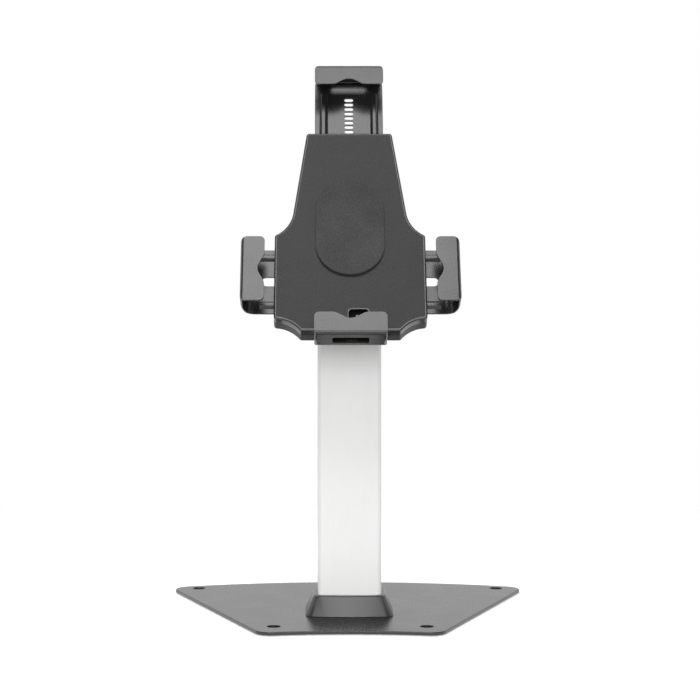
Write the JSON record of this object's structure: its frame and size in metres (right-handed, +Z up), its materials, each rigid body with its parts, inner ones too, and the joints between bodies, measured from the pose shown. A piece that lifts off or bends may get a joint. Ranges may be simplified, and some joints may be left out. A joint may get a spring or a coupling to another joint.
{
  "type": "tablet desk stand",
  "caption": "Desk stand that clamps a tablet by its edges: flared steel base plate, upright column, tilting and turning holder, ribbed sliding claw arms and a push lock.",
  "frame": {"origin": "on the table, on the column's axis, in the anti-slip mat's underside", "axes": "+Z up, -Y towards the viewer of the tablet, +X to that viewer's right"},
  "size_m": [0.3482, 0.2732, 0.5236],
  "materials": {
    "powder_black": "satin powder coat",
    "arm_black": "satin coating on formed steel",
    "column_white": "white satin coating on extruded aluminium",
    "plastic_textured": "fine spark texture",
    "plastic_black": "satin",
    "foam": "fine-celled foam",
    "rubber": "matte",
    "nylon": "smooth",
    "steel_zinc": "zinc plated",
    "steel_dark": "black oxide",
    "lock_chrome": "satin nickel",
    "lock_core": "turned face"
  },
  "bodies": {
    "base": {"base_mat": "rubber", "base_plate": "powder_black", "column": "column_white", "column_foot_screws": "steel_zinc", "foot_shroud": "plastic_black", "tilt_yoke": "powder_black", "yoke_screws": "steel_zinc", "pivot_bolt": "steel_dark", "pivot_nut": "steel_zinc", "pivot_washers": "nylon"},
    "tilt_head": {"tilt_bracket": "powder_black", "pivot_spacer": "steel_zinc", "rotation_washers": "nylon"},
    "holder": {"rotation_disc": "steel_dark", "disc_screws": "steel_zinc", "rotation_bolt": "steel_dark", "rotation_nut": "steel_zinc", "rear_shell": "plastic_textured", "front_cover": "plastic_textured", "face_pad": "foam", "cover_screws": "steel_zinc", "bottom_arm": "arm_black", "bottom_lining": "rubber", "bottom_arm_screws": "steel_zinc", "clamp_screws": "steel_dark", "clamp_nut_bars": "steel_zinc", "lock_barrel": "lock_chrome", "lock_ring_nut": "steel_zinc", "lock_spring": "steel_zinc"},
    "lock_plunger": {"lock_plunger": "lock_chrome"},
    "lock_core": {"lock_core": "lock_core"},
    "top_arm": {"top_arm": "arm_black", "top_lining": "rubber"},
    "left_arm": {"left_arm": "arm_black", "left_lining": "rubber"},
    "right_arm": {"right_arm": "arm_black", "right_lining": "rubber"}
  },
  "joints": [
    {"name": "head_tilt", "type": "hinge", "parent": "base", "child": "tilt_head", "pos_m": [0, 0, 0.3398], "axis": [-1, 0, 0], "range_deg": [-28.2, 61.8]},
    {"name": "holder_rotation", "type": "hinge", "parent": "tilt_head", "child": "holder", "pos_m": [0, -0.04935, 0.36626], "axis": [0, -0.8813, 0.4726], "continuous": true},
    {"name": "top_arm_slide", "type": "slide", "parent": "holder", "child": "top_arm", "axis": [0, 0.4726, 0.8813], "range_m": [-0.05665, 0.02575]},
    {"name": "left_arm_slide", "type": "slide", "parent": "holder", "child": "left_arm", "axis": [-1, 0, 0], "range_m": [-0.02, 0.012]},
    {"name": "right_arm_slide", "type": "slide", "parent": "holder", "child": "right_arm", "axis": [1, 0, 0], "range_m": [-0.02, 0.012]},
    {"name": "lock_push", "type": "slide", "parent": "holder", "child": "lock_plunger", "axis": [0, -0.8813, 0.4726], "range_m": [0, 0.0032], "stiffness_N_per_m": 400, "springref_m": -0.006},
    {"name": "lock_core_turn", "type": "hinge", "parent": "lock_plunger", "child": "lock_core", "pos_m": [0, 0.01614, 0.42493], "axis": [0, -0.8813, 0.4726], "range_deg": [0, 90]}
  ]
}
